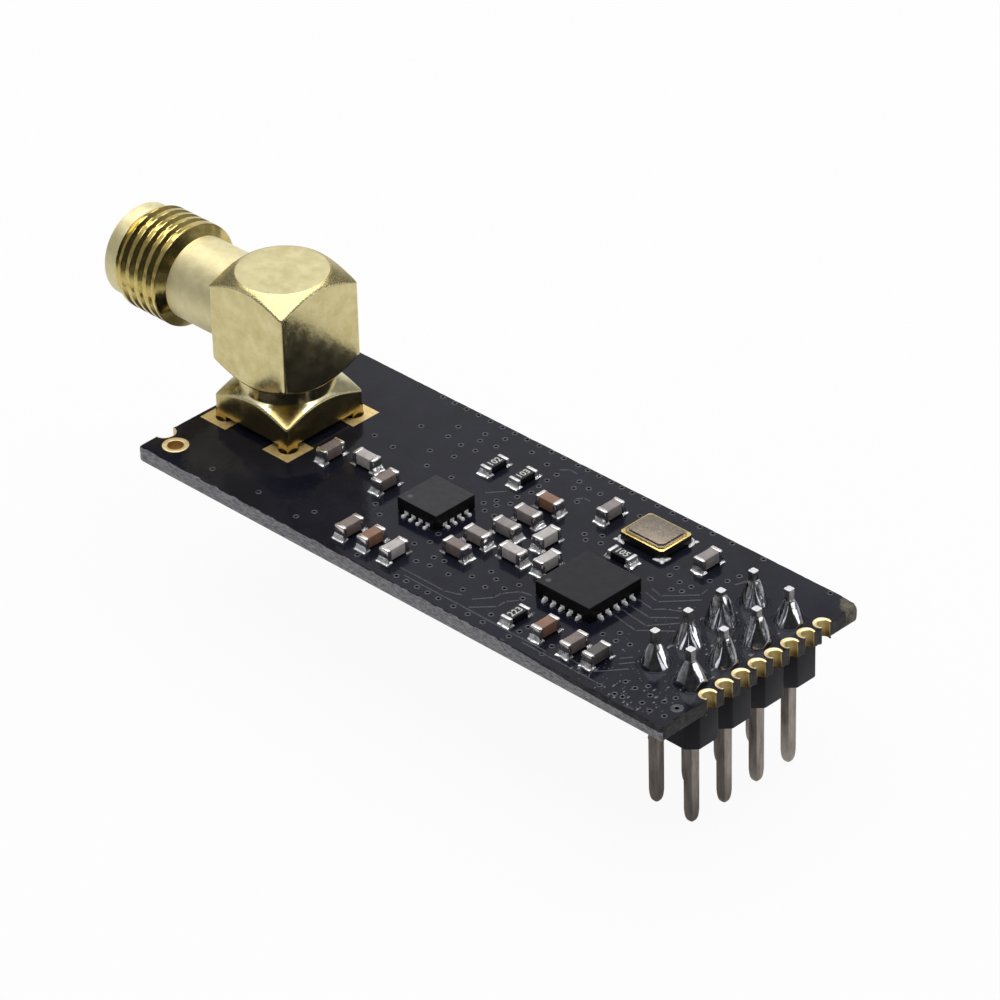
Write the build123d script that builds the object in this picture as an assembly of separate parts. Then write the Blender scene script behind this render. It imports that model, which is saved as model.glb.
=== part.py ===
from build123d import *
import math
import os

# Wireless transceiver module: a small radio board with a right-angle coaxial antenna jack at one end
# and a two-row pin header at the other. All sizes are in millimetres.
# Frame: +Z up on the component side, +X along the board towards the header, +Y across the board.
# The origin is the centre of the eight header pins on the seating plane, the underside of the header strip.

# pin header
pin_pitch = 2.54
pin_rows = 2                       # rows along X
pin_columns = 4                    # pins along Y in each row
pin_side = 0.64
pin_below = 5.7                    # pin length under the header strip
pin_above = 2.05                   # pin end above the component side
pin_tip = 0.20                     # bevel at the lower end
pin_head_side = 0.42               # the upper end is drawn down to this
pin_head_length = 1.35
strip_height = 2.4
strip_corner = 0.56                # bevel on the four upright corners of every pin block

# circuit board
board_length = 40.0
board_width = 15.4
board_thickness = 1.0
header_edge_x = 3.0                # board end beside the header
near_edge_y = -7.9
board_corner = 0.15
score_bevel = 0.12                 # bevel left underneath by the scored panel
copper = 0.05                      # depth of a plated pad let into the surface
plating = 0.05                     # wall of a plated hole

# plated half holes along the header end
half_hole_pitch = 1.27
half_hole_count = 8
half_hole_row_y = 0.36             # middle of the row
half_hole_radius = 0.40
half_hole_inset = 0.17             # drill centre inside the board end
half_pad_radius = 0.53
half_pad_inset = 0.28

# solder of the header pins
pin_hole_radius = 0.50
pin_cone_foot = 0.80
pin_cone_middle = 0.58
pin_cone_middle_height = 0.65
pin_cone_top = 0.40
pin_cone_height = 1.45
hole_flats = 12                    # flats that stand for round in the small holes and their solder

# plated hole with a ring near the antenna end, and the plated notch beside it
ring_inset_x = 1.45                # from the board end
ring_inset_y = 1.48                # from the near edge
ring_hole_radius = 0.47
ring_radius = 0.78
notch_inset_y = 2.0
notch_radius = 0.62

# antenna jack
jack_inset = 3.85                  # upright axis from the board end
jack_y = 0.10
jack_side = 5.9                    # square bar the block is turned from
jack_standoff = 0.30               # block underside above the board
base_corner_top = 1.45             # heights above the board from here on
groove_low = 2.30
groove_high = 3.05
block_corner_low = 3.95
block_corner_high = 8.50
block_top = 9.45
block_top_radius = 2.70
groove_radius = 2.75
jack_axis = 6.15                   # height of the threaded barrel's axis
neck_radius = 2.50
thread_radius = 3.10
thread_start = 7.05                # distances from the upright axis along the barrel
thread_end = 10.45
barrel_end = 12.0
start_bevel = 0.50
thread_groove_count = 4            # rings at the thread's pitch stand for its turns
thread_pitch = 0.706
thread_depth = 0.30
thread_groove_width = 0.42
end_bevel = 0.30
lead_radius = 2.80
mouth_bevel = 0.15
mating_radius = 2.32
mating_depth = 1.90
dielectric_radius = 2.05
spigot_radius = 2.35
spigot_depth = 0.85
contact_radius = 0.635
contact_bore = 0.46
contact_bore_depth = 2.4
contact_slot = 0.12
contact_slot_depth = 2.0

# legs and signal pin of the jack, their holes, pads and solder
leg_pitch = 5.08
leg_side = 0.80
leg_below = 1.2                    # leg end under the board
leg_hole_radius = 0.60
leg_pad_side = 2.05
signal_pin_radius = 0.50
jack_cone_foot = 0.95
jack_cone_middle = 0.70
jack_cone_middle_height = 0.35
jack_cone_top = 0.62
jack_cone_height = 0.80

# leadless chips
chip_height = 0.90
chip_lift = 0.05                   # solder under the chip
radio_y = -1.55
radio_side = 4.0
radio_lead_count = 5
radio_lead_pitch = 0.62
radio_centre_pad = 2.4
amplifier_y = -1.25
amplifier_side = 3.0
amplifier_lead_count = 4
amplifier_lead_pitch = 0.55
amplifier_centre_pad = 1.6
lead_width = 0.30
lead_depth = 0.40
lead_height = 0.20
lead_toe = 0.24                    # solder in front of a lead
lead_toe_waist = 0.10
lead_toe_waist_height = 0.05

# crystal can
crystal_y = 4.65
crystal_length = 3.2
crystal_width = 2.5
crystal_base_height = 0.50
crystal_corner = 0.15
seam_inset = 0.15                  # metal seam frame inside the ceramic's outline
seam_height = 0.10
lid_inset = 0.13                   # lid inside the seam frame
lid_height = 0.10
metal_corner = 0.22
crystal_pad_gap_x = 1.10           # between the two pads along X
crystal_pad_gap_y = 0.80
crystal_toe = 0.22                 # solder outside the ceramic
crystal_wall = 0.10                # solder drawn up its sides
crystal_wall_height = 0.22

# two-ended chips, 1.6 x 0.8
piece_length = 1.60
piece_width = 0.80
capacitor_height = 0.80
resistor_height = 0.45
end_length = 0.34                  # plated end
end_wall = 0.03                    # end proud of the ceramic
joint_film = 0.04                  # solder under an end
joint_side = 0.06                  # solder beside an end
joint_toe = 0.34                   # solder in front of an end
joint_waist = 0.12
joint_waist_share = 0.24           # heights of the solder as shares of the chip's height
joint_rise_share = 0.62

# derived levels and places
board_bottom = strip_height
board_top = board_bottom + board_thickness
board_left = header_edge_x - board_length
far_edge_y = near_edge_y + board_width
header_to_jack = board_length - header_edge_x - jack_inset
jack_x = -header_to_jack
ring_x = board_left + ring_inset_x
ring_y = near_edge_y + ring_inset_y
notch_y = near_edge_y + notch_inset_y
strip_reach = pin_rows * pin_pitch / 2
pins = [((row - (pin_rows - 1) / 2) * pin_pitch, (k - (pin_columns - 1) / 2) * pin_pitch)
        for row in range(pin_rows) for k in range(pin_columns)]
half_hole_rows = [half_hole_row_y + (k - (half_hole_count - 1) / 2) * half_hole_pitch
                  for k in range(half_hole_count)]
legs = [(jack_x + sx * leg_pitch / 2, jack_y + sy * leg_pitch / 2) for sx in (-1, 1) for sy in (-1, 1)]


def along(share):
    """X of a place on the board, as a share of the way from the header's centre to the jack's axis."""
    return -share * header_to_jack


# each two-ended chip: share of the way to the jack, y, and whether its length lies across the board
capacitors = {
    "input_filter_capacitor": (0.852, -1.40, True),
    "harmonic_filter_capacitor": (0.786, -0.70, False),
    "output_match_capacitor": (0.718, -1.50, True),
    "amplifier_supply_capacitor_1": (0.662, -6.05, True),
    "amplifier_supply_capacitor_2": (0.612, -6.00, True),
    "amplifier_supply_capacitor_3": (0.560, -6.00, True),
    "switch_bias_capacitor_1": (0.469, 3.00, False),
    "switch_bias_capacitor_2": (0.469, 1.30, False),
    "switch_bias_capacitor_3": (0.469, -0.35, False),
    "receive_path_capacitor_1": (0.487, -2.00, False),
    "receive_path_capacitor_2": (0.487, -3.60, False),
    "balun_capacitor_1": (0.401, 0.40, True),
    "balun_capacitor_2": (0.409, -1.90, False),
    "antenna_pin_capacitor": (0.351, -1.25, True),
    "crystal_load_capacitor_1": (0.380, 4.70, True),
    "crystal_load_capacitor_2": (0.164, 4.75, True),
    "radio_supply_capacitor_1": (0.222, -5.80, True),
    "radio_supply_capacitor_2": (0.157, -5.85, True),
    "radio_supply_capacitor_3": (0.110, -5.75, True),
}
resistors = {
    "gain_set_resistor": (0.624, 3.90, True),
    "enable_pull_resistor": (0.563, 4.10, True),
    "bias_resistor": (0.287, -5.85, True),
    "crystal_resistor": (0.279, 2.10, False),
}
radio_x = along(0.250)
amplifier_x = along(0.606)
crystal_x = along(0.276)

os.makedirs("parts", exist_ok=True)


def save(name, shapes):
    solids = [s for shape in shapes for s in shape.solids()]
    whole = solids[0] if len(solids) == 1 else Compound(children=solids)
    export_step(whole, "parts/" + name + ".step")


def bar(x0, x1, y0, y1, z0, z1):
    return Pos((x0 + x1) / 2, (y0 + y1) / 2, (z0 + z1) / 2) * Box(x1 - x0, y1 - y0, z1 - z0)


def post(radius, z0, z1):
    return Pos(0, 0, (z0 + z1) / 2) * Cylinder(radius, z1 - z0)


def turned(points):
    """Solid turned about the Z axis from (radius, height) points."""
    return revolve(make_face(Polyline([(r, 0, z) for r, z in points], close=True)), Axis.Z, 360)


def stacked(points):
    """Solid with flats in place of a turned surface, from (radius, height) points."""
    return loft([Pos(0, 0, z) * RegularPolygon(r, hole_flats) for r, z in points], ruled=True)


def squares(places, side, z0, z1):
    return [Pos(x, y, (z0 + z1) / 2) * Box(side, side, z1 - z0) for x, y in places]


def plated_hole(x, y, hole, wall, pad):
    """Lining of a drilled hole with a pad let into both surfaces of the board, from three flat outlines."""
    lining = extrude(wall, board_thickness) + extrude(pad, copper)
    lining += Pos(0, 0, board_thickness - copper) * extrude(pad, copper)
    return Pos(x, y, board_bottom) * (lining - extrude(hole, board_thickness))


def drill(x, y, outline):
    return Pos(x, y, board_bottom) * extrude(outline, board_thickness)


# Header strip: one moulded bar with a bevelled block around each pair of pins.
block_half = pin_pitch / 2
c = strip_corner
block_outline = make_face(Polyline([
    (-strip_reach + c, -block_half), (strip_reach - c, -block_half), (strip_reach, -block_half + c),
    (strip_reach, block_half - c), (strip_reach - c, block_half), (-strip_reach + c, block_half),
    (-strip_reach, block_half - c), (-strip_reach, -block_half + c)], close=True))
strip = None
for k in range(pin_columns):
    block = Pos(0, pins[k][1], 0) * extrude(block_outline, strip_height)
    strip = block if strip is None else strip + block
strip -= squares(pins, pin_side, 0, strip_height)
save("header_strip", [strip])

# Header pins: square wire, bevelled at the lower end and drawn down at the upper one.
head_start = board_top + pin_above - pin_head_length
head_slope = math.degrees(math.atan((pin_side - pin_head_side) / 2 / pin_head_length))
pin = bar(-pin_side / 2, pin_side / 2, -pin_side / 2, pin_side / 2, -pin_below, head_start)
pin = chamfer(pin.faces().sort_by(Axis.Z)[0].edges(), pin_tip)
pin += Pos(0, 0, head_start) * extrude(Rectangle(pin_side, pin_side), pin_head_length, taper=head_slope)
save("header_pins", [Pos(x, y, 0) * pin for x, y in pins])

# Header solder: it fills the plated hole and is drawn up the pin into a hollow-sided cone.
pin_drill = RegularPolygon(pin_hole_radius, hole_flats)
cone = stacked([(pin_cone_foot, 0), (pin_cone_middle, pin_cone_middle_height),
                (pin_cone_top, pin_cone_height)])
fill = Pos(0, 0, -board_thickness) * extrude(pin_drill, board_thickness)
solder = Pos(0, 0, board_top) * (cone + fill) - pin
save("header_joints", [Pos(x, y, 0) * solder for x, y in pins])

# Circuit board: rounded outline, then holes and hollows for every plated pad.
board_middle = Pos((board_left + header_edge_x) / 2, (near_edge_y + far_edge_y) / 2)
outline = board_middle * Rectangle(board_length, board_width)
outline = fillet(outline.vertices(), board_corner)
board = Pos(0, 0, board_bottom) * extrude(outline, board_thickness)
low_edges = board.edges().group_by(Axis.Z)[0].filter_by(Axis.X)
board = chamfer(low_edges, score_bevel)

# Plated half holes on the header end, with a wider pad set back from the cut on both surfaces.
beyond_end = bar(header_edge_x, header_edge_x + board_width, near_edge_y, far_edge_y, board_bottom, board_top)
half_outer = RegularPolygon(half_hole_radius, hole_flats)
half_inner = RegularPolygon(half_hole_radius - plating, hole_flats)
half_pad = Pos(half_hole_inset - half_pad_inset, 0) * RegularPolygon(half_pad_radius, hole_flats)
half_hole_x = header_edge_x - half_hole_inset
half_shapes = [plated_hole(half_hole_x, y, half_inner, half_outer, half_pad) - beyond_end
               for y in half_hole_rows]
save("edge_half_holes", half_shapes)

# Square pads of the jack's legs on both surfaces.
leg_inner = RegularPolygon(leg_hole_radius, hole_flats)
leg_outer = RegularPolygon(leg_hole_radius + plating, hole_flats)
leg_pads = [plated_hole(x, y, leg_inner, leg_outer, Rectangle(leg_pad_side, leg_pad_side)) for x, y in legs]
save("jack_leg_pads", leg_pads)

# Plated test hole with a ring, and the plated notch in the board end.
ring_inner, ring_outer, ring_outline = [RegularPolygon(r, 2 * hole_flats) for r in
                                        (ring_hole_radius, ring_hole_radius + plating, ring_radius)]
test_ring = plated_hole(ring_x, ring_y, ring_inner, ring_outer, ring_outline)
save("test_hole_ring", [test_ring])
beyond_left = bar(board_left - board_width, board_left, near_edge_y, far_edge_y, board_bottom, board_top)
notch_cut = drill(board_left, notch_y, Circle(notch_radius))
notch_lining = (drill(board_left, notch_y, Circle(notch_radius + plating)) - notch_cut) - beyond_left
save("edge_notch_lining", [notch_lining])

drills = [drill(half_hole_x, y, half_inner) for y in half_hole_rows]
drills += [drill(x, y, pin_drill) for x, y in pins]
drills += [drill(x, y, leg_inner) for x, y in legs + [(jack_x, jack_y)]]
drills += [drill(ring_x, ring_y, ring_inner), notch_cut]
board = (board - drills) - (half_shapes + leg_pads + [test_ring, notch_lining])
save("circuit_board", [board])

# Antenna jack block: square bar with turned cones at the top, above the base and round the waist.
corner_reach = jack_side / math.sqrt(2) + mouth_bevel
turning = turned([(0, jack_standoff), (corner_reach, jack_standoff), (corner_reach, base_corner_top),
                  (groove_radius, groove_low), (groove_radius, groove_high),
                  (corner_reach, block_corner_low), (corner_reach, block_corner_high),
                  (block_top_radius, block_top), (0, block_top)])
block = turning & squares([(0, 0)], jack_side, 0, block_top)[0]
leg_places = [(x - jack_x, y - jack_y) for x, y in legs]
for leg in squares(leg_places, leg_side, -board_thickness - leg_below, base_corner_top):
    block += leg
barrel_way = Pos(0, 0, jack_axis) * Rot(0, -90, 0)      # turned shapes then lie along -X
bore_top = jack_axis + dielectric_radius / 2
block -= post(dielectric_radius, 0, bore_top)
block -= barrel_way * post(dielectric_radius, 0, jack_side)
block -= barrel_way * post(spigot_radius, jack_side / 2 - spigot_depth, jack_side)
jack_place = Pos(jack_x, jack_y, board_top)
save("jack_block", [jack_place * block])

# Threaded barrel: turned, pressed into the block, bored for the dielectric and the mating plug.
half = jack_side / 2
reference = barrel_end - mating_depth
thread_middle = (thread_start + start_bevel + thread_end) / 2
grooves = []
for k in range(thread_groove_count):
    root = thread_middle + (k - (thread_groove_count - 1) / 2) * thread_pitch
    grooves += [(thread_radius, root - thread_groove_width / 2), (thread_radius - thread_depth, root),
                (thread_radius, root + thread_groove_width / 2)]
barrel = turned([(dielectric_radius, half - spigot_depth), (spigot_radius, half - spigot_depth),
                 (spigot_radius, half), (neck_radius, half), (neck_radius, thread_start),
                 (thread_radius, thread_start + start_bevel), *grooves, (thread_radius, thread_end),
                 (lead_radius, thread_end + end_bevel), (lead_radius, barrel_end - mouth_bevel),
                 (lead_radius - mouth_bevel, barrel_end), (mating_radius, barrel_end),
                 (mating_radius, reference), (dielectric_radius, reference)])
save("jack_barrel", [jack_place * barrel_way * barrel])

# Centre conductor: a bored and slotted contact along the barrel, crossed by the upright signal pin.
contact = turned([(0, -contact_radius), (contact_radius, -contact_radius), (contact_radius, reference),
                  (contact_bore, reference), (contact_bore, reference - contact_bore_depth),
                  (0, reference - contact_bore_depth)])
for angle in (0, 90):
    slot = Box(contact_slot, 2 * contact_radius, contact_slot_depth)
    contact -= Rot(0, 0, angle) * Pos(0, 0, reference - contact_slot_depth / 2) * slot
signal_pin = post(signal_pin_radius, -board_thickness - leg_below, jack_axis)
contact = barrel_way * contact - signal_pin
save("jack_contact", [jack_place * contact])
save("jack_signal_pin", [jack_place * signal_pin])

# White dielectric: one core upright in the block, one lying in the barrel.
upright_core = post(dielectric_radius, jack_standoff, bore_top)
lying_core = barrel_way * post(dielectric_radius, 0, reference)
contact_way = barrel_way * post(contact_radius, -contact_radius, reference)
save("jack_barrel_dielectric", [jack_place * ((lying_core - upright_core) - contact_way)])
save("jack_block_dielectric", [jack_place * ((upright_core - contact_way) - signal_pin)])

# Solder under the board on the legs and the signal pin.
drop = stacked([(jack_cone_top, -jack_cone_height), (jack_cone_middle, -jack_cone_middle_height),
                (jack_cone_foot, 0)])
jack_joints = [Pos(x, y, board_bottom) * (drop - squares([(0, 0)], leg_side, -jack_cone_height, 0))
               for x, y in legs]
signal_drop = drop - post(signal_pin_radius, -jack_cone_height, 0)
jack_joints.append(Pos(jack_x, jack_y, board_bottom) * signal_drop)
save("jack_joints", jack_joints)


# Leadless chips: moulded body, plated leads flush with its sides, a centre pad and the solder.
def leadless(name, cx, cy, side, count, pitch, centre_pad):
    half_side = side / 2
    back, half_lead = half_side - lead_depth, lead_width / 2
    toe = make_face(Polyline([
        (back, -chip_lift), (half_side + lead_toe, -chip_lift),
        (half_side + lead_toe_waist, lead_toe_waist_height), (half_side, lead_height),
        (half_side, 0), (back, 0)], close=True))
    lead_shapes, solder_shapes = [], []
    for quarter in range(4):
        for k in range(count):
            place = Rot(0, 0, 90 * quarter) * Pos(0, (k - (count - 1) / 2) * pitch, 0)
            lead_shapes.append(place * bar(back, half_side, -half_lead, half_lead, 0, lead_height))
            solder_shapes.append(place * extrude(Plane.XZ * toe, half_lead, both=True))
    half_pad = centre_pad / 2
    lead_shapes.append(bar(-half_pad, half_pad, -half_pad, half_pad, 0, lead_height))
    solder_shapes.append(bar(-half_pad, half_pad, -half_pad, half_pad, -chip_lift, 0))
    body = bar(-half_side, half_side, -half_side, half_side, 0, chip_height) - lead_shapes
    seat = Pos(cx, cy, board_top + chip_lift)
    save(name + "_chip", [seat * body])
    save(name + "_chip_leads", [seat * s for s in lead_shapes])
    save(name + "_chip_joints", [seat * s for s in solder_shapes])


leadless("radio", radio_x, radio_y, radio_side, radio_lead_count, radio_lead_pitch, radio_centre_pad)
leadless("amplifier", amplifier_x, amplifier_y, amplifier_side, amplifier_lead_count, amplifier_lead_pitch,
         amplifier_centre_pad)


# Crystal: ceramic base on four pads, metal seam frame and welded lid.
def plate(length, width, corner, z0, height):
    blank = extrude(Rectangle(length, width), height)
    return Pos(0, 0, z0) * chamfer(blank.edges().filter_by(Axis.Z), corner)


seam_length, seam_width = crystal_length - 2 * seam_inset, crystal_width - 2 * seam_inset
lid_length, lid_width = seam_length - 2 * lid_inset, seam_width - 2 * lid_inset
ceramic = plate(crystal_length, crystal_width, crystal_corner, 0, crystal_base_height)
crystal_seat = Pos(crystal_x, crystal_y, board_top + chip_lift)
save("crystal_base", [crystal_seat * ceramic])
seam = plate(seam_length, seam_width, metal_corner, crystal_base_height, seam_height)
lid = plate(lid_length, lid_width, metal_corner, crystal_base_height + seam_height, lid_height)
save("crystal_seam_frame", [crystal_seat * seam])
save("crystal_lid", [crystal_seat * lid])
pad_x, pad_y = crystal_pad_gap_x / 2, crystal_pad_gap_y / 2
film = bar(pad_x, crystal_length / 2 + crystal_toe, pad_y, crystal_width / 2 + crystal_toe, -chip_lift, 0)
wall = bar(pad_x, crystal_length / 2 + crystal_wall, pad_y, crystal_width / 2 + crystal_wall,
           0, crystal_wall_height)
corner_joint = film + (wall - ceramic)
other_end = mirror(corner_joint, Plane.YZ)
corner_joints = [corner_joint, other_end, mirror(corner_joint, Plane.XZ), mirror(other_end, Plane.XZ)]
save("crystal_joints", [crystal_seat * s for s in corner_joints])


# Two-ended chips: ceramic body seated between two plated ends, and a hollow-sided solder fillet.
def two_ended(height):
    half_l, half_w, w = piece_length / 2, piece_width / 2, end_wall
    back = half_l - end_length
    body = bar(-back, back, -half_w + w, half_w - w, w, height - w)
    end = bar(back, half_l, -half_w, half_w, 0, height)
    toe = make_face(Polyline([
        (back, -joint_film), (half_l + joint_toe, -joint_film),
        (half_l + joint_waist, joint_waist_share * height), (half_l, joint_rise_share * height),
        (half_l, 0), (back, 0)], close=True))
    joint = extrude(Plane.XZ * toe, half_w + joint_side, both=True)
    around = Rot(0, 0, 180)
    return body, [end, around * end], [joint, around * joint]


for kind, height, pieces in (("capacitor", capacitor_height, capacitors),
                             ("resistor", resistor_height, resistors)):
    body, ends, joints = two_ended(height)
    all_ends, all_joints = [], []
    for name, (share, y, across) in pieces.items():
        place = Pos(along(share), y, board_top + joint_film) * Rot(0, 0, 90 if across else 0)
        save(name, [place * body])
        all_ends += [place * end for end in ends]
        all_joints += [place * joint for joint in joints]
    save(kind + "_ends", all_ends)
    save(kind + "_joints", all_joints)
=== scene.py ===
import math

import bmesh
import bpy
from mathutils import Matrix, Vector, noise


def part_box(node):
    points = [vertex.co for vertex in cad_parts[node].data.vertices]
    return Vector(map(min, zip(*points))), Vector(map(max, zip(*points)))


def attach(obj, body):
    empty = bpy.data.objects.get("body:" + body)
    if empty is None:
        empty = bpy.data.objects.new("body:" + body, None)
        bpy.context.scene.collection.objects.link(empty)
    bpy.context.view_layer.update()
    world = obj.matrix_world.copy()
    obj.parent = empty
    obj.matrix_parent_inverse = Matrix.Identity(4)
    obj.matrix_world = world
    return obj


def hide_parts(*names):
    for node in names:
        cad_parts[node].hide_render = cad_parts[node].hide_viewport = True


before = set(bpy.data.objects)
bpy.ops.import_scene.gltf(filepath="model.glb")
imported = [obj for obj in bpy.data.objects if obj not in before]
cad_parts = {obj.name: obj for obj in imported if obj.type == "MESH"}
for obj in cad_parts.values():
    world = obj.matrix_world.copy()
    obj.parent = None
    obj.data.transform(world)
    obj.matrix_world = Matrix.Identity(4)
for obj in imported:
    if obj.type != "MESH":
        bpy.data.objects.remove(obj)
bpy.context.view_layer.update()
MM = 0.001


# CIRCUIT BOARD
# The bare board is 1 mm glass-fibre laminate under glossy black solder mask. It was snapped out of a
# scored panel, so its near edge shows grey fibre with the mask torn back, and one corner is rubbed round.

def shade(red, green, blue):
    """A colour picked as 0-255 screen values, as the shader wants it."""
    def straight(value):
        value /= 255
        return value / 12.92 if value <= 0.04045 else ((value + 0.055) / 1.055) ** 2.4
    return (straight(red), straight(green), straight(blue), 1)


class Shading:
    """The nodes of one material or world. An input takes a plain value or another node's output."""

    def __init__(self, owner):
        owner.use_nodes = True
        self.nodes, self.links = owner.node_tree.nodes, owner.node_tree.links

    def feed(self, node, inputs):
        """Fills a node's inputs, listed in order or by name."""
        for key, value in inputs.items() if isinstance(inputs, dict) else enumerate(inputs):
            if isinstance(value, bpy.types.NodeSocket):
                self.links.new(value, node.inputs[key])
            else:
                node.inputs[key].default_value = value

    def add(self, kind, output, inputs=(), **settings):
        """Adds a node and gives back one of its outputs."""
        node = self.nodes.new("ShaderNode" + kind)
        for setting, value in settings.items():
            setattr(node, setting, value)
        self.feed(node, inputs)
        return node.outputs[output]

    def surface(self, inputs):
        """Fills inputs of the material's surface shader."""
        self.feed(self.nodes["Principled BSDF"], inputs)

    def source(self, name):
        """The output that feeds an input of the surface shader."""
        return self.nodes["Principled BSDF"].inputs[name].links[0].from_socket

    def parts(self, vector):
        """X, Y and Z of a vector."""
        node = self.nodes.new("ShaderNodeSeparateXYZ")
        self.feed(node, [vector])
        return list(node.outputs)

    def reckon(self, operation, *values):
        """A sum, product or comparison of numbers."""
        return self.add("Math", "Value", values, operation=operation)

    def reach(self, x, y, centre):
        """Distance of x and y from a centre in millimetres."""
        squares = [self.reckon("POWER", self.reckon("SUBTRACT", value, middle * MM), 2)
                   for value, middle in zip((x, y), centre)]
        return self.reckon("SQRT", self.reckon("ADD", *squares))

    def grains(self, size, stretch=(1, 1, 1), detail=5, rough=0.7):
        """Noise of a size in millimetres, drawn out along the axes."""
        spot = self.add("Mapping", "Vector", {"Vector": self.add("TexCoord", "Object"), "Scale": stretch})
        return self.add("TexNoise", "Fac", {"Vector": spot, "Scale": 1 / (size * MM), "Detail": detail,
                                            "Roughness": rough})

    def ramped(self, value, low, high, first, last, curve="SMOOTHSTEP"):
        """Change from first to last while the value goes from low to high."""
        return self.add("MapRange", "Result", {"Value": value, "From Min": low, "From Max": high,
                                               "To Min": first, "To Max": last}, interpolation_type=curve)

    def two_tone(self, value, low, high, dark, light):
        """Colour that goes from dark to light while the value goes from low to high."""
        node = self.nodes.new("ShaderNodeValToRGB")
        for element, position, colour in zip(node.color_ramp.elements, (low, high), (dark, light)):
            element.position = position
            element.color = shade(*colour)
        self.feed(node, [value])
        return node.outputs["Color"]

    def blend(self, share, under, over):
        """Lays one colour over another by a share from 0 to 1."""
        return self.add("Mix", "Result", {"Factor": share, "A": under, "B": over}, data_type="RGBA")


def finish(name, dark, light, rough, metal=0.0, patch=0.6, grain=0.05, relief=0.0, stretch=(1, 1, 1),
           shine=0.5):
    """Surface with patchy colour and gloss and a fine grain. Patch, grain and relief are in millimetres."""
    material = bpy.data.materials.new(name)
    look = Shading(material)
    clouds = look.grains(patch, stretch, 6, 0.62)
    look.surface({"Metallic": metal, "Specular IOR Level": shine,
                  "Base Color": look.two_tone(clouds, 0.34, 0.66, dark, light),
                  "Roughness": look.ramped(clouds, 0.3, 0.7, *rough, "LINEAR")})
    if relief:
        speckle = look.grains(grain, stretch, 3, 0.5)
        look.surface({"Normal": look.add("Bump", "Normal", {"Distance": relief * MM, "Height": speckle})})
    return material


def dress(node, material):
    """Gives a CAD node that already has its final shape its material."""
    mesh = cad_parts[node].data
    if not mesh.materials:
        mesh.materials.append(material)
    for k in range(len(mesh.materials)):
        mesh.materials[k] = material


def put(name, work, materials, stands_for=(), sharp=40):
    """Turns finished mesh work into a piece that sits on the module."""
    bmesh.ops.recalc_face_normals(work, faces=work.faces)
    mesh = bpy.data.meshes.new(name)
    work.to_mesh(mesh)
    work.free()
    mesh.shade_smooth()
    mesh.set_sharp_from_angle(angle=math.radians(sharp))
    for material in materials:
        mesh.materials.append(material)
    piece = bpy.data.objects.new(name, mesh)
    bpy.context.scene.collection.objects.link(piece)
    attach(piece, "root")
    if stands_for:
        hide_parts(*stands_for)
    return piece


def sheet_of(work, rows, closed=True):
    """Fills rows of points, or rings if closed, with quads and gives back the rows of vertices."""
    grid = [[work.verts.new(Vector(point) * MM) for point in row] for row in rows]
    wide = len(grid[0])
    for a, b in zip(grid, grid[1:]):
        for j in range(wide if closed else wide - 1):
            work.faces.new((a[j], a[(j + 1) % wide], b[(j + 1) % wide], b[j]))
    return grid


def turns(steps):
    """Angles of equal steps round a circle."""
    return [math.tau * k / steps for k in range(steps)]


def arc(x, y, radius, start, end, steps):
    """Points of a round stretch, without its last one."""
    return [(x + radius * math.cos(start + (end - start) * k / steps),
             y + radius * math.sin(start + (end - start) * k / steps)) for k in range(steps)]


def lifted(points, z):
    """Points of a plan at one height."""
    return [(x, y, z) for x, y in points]


def wave(*place):
    """Smooth chance from about -1 to 1 that belongs to a place."""
    return noise.noise(Vector(place))


def corners(node):
    """Low and high corner of a CAD node's box, in millimetres."""
    return [tuple(value / MM for value in corner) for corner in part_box(node)]


def middle_of(node):
    """Middle of a CAD node's box, in millimetres."""
    return [(low + high) / 2 / MM for low, high in zip(*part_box(node))]


(board_left, near_edge, board_under), (header_end, far_edge, board_top) = corners("circuit_board")
half_pitch, hole_radius, hole_inset = 1.27, 0.40, 0.17
hole_x = header_end - hole_inset
half_rows = [middle_of("edge_half_holes")[1] + (k - 3.5) * half_pitch for k in range(8)]
ring_x, ring_y, _ = middle_of("test_hole_ring")
ring_radius, ring_hole = 0.78, 0.47
jack_x, jack_y, _ = middle_of("jack_block")
leg_reach, pad_half = 2.54, 1.025
leg_places = [(jack_x + sx * leg_reach, jack_y + sy * leg_reach) for sx in (-1, 1) for sy in (-1, 1)]
notch_y, notch_radius, corner, rubbed_radius = near_edge + 2.0, 0.67, 0.15, 0.35
quarter = math.pi / 2

edge = []                       # x, y and roughness of the outline, anticlockwise from the left near corner


def edge_run(start, end, rough, step=0.16):
    """A straight stretch of the board's edge, without its last point."""
    steps = max(2, round((Vector(end) - Vector(start)).length / step))
    for k in range(steps):
        edge.append((*Vector(start).lerp(Vector(end), k / steps), rough))


def edge_turn(x, y, radius, start, end, rough, steps=4):
    """A round stretch of the board's edge, without its last point."""
    edge.extend((*point, rough) for point in arc(x, y, radius, start, end, steps))


edge_run((board_left + corner, near_edge), (header_end - corner, near_edge), 1.0)
edge_turn(header_end - corner, near_edge + corner, corner, -quarter, 0, 0.8)
lip = math.acos(hole_inset / hole_radius)
lip_y = hole_radius * math.sin(lip)
last = (header_end, near_edge + corner)
for y in half_rows:
    edge_run(last, (header_end, y - lip_y), 0.6 if y == half_rows[0] else 0.15)
    edge_turn(hole_x, y, hole_radius, -lip, lip - math.tau, 0.0, 20)
    last = (header_end, y + lip_y)
edge_run(last, (header_end, far_edge - rubbed_radius), 0.6)
edge_turn(header_end - rubbed_radius, far_edge - rubbed_radius, rubbed_radius, 0, quarter, 0.6, 12)
edge_run((header_end - rubbed_radius, far_edge), (board_left + corner, far_edge), 0.4)
edge_turn(board_left + corner, far_edge - corner, corner, quarter, 2 * quarter, 0.4)
edge_run((board_left, far_edge - corner), (board_left, notch_y + notch_radius), 0.3)
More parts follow.
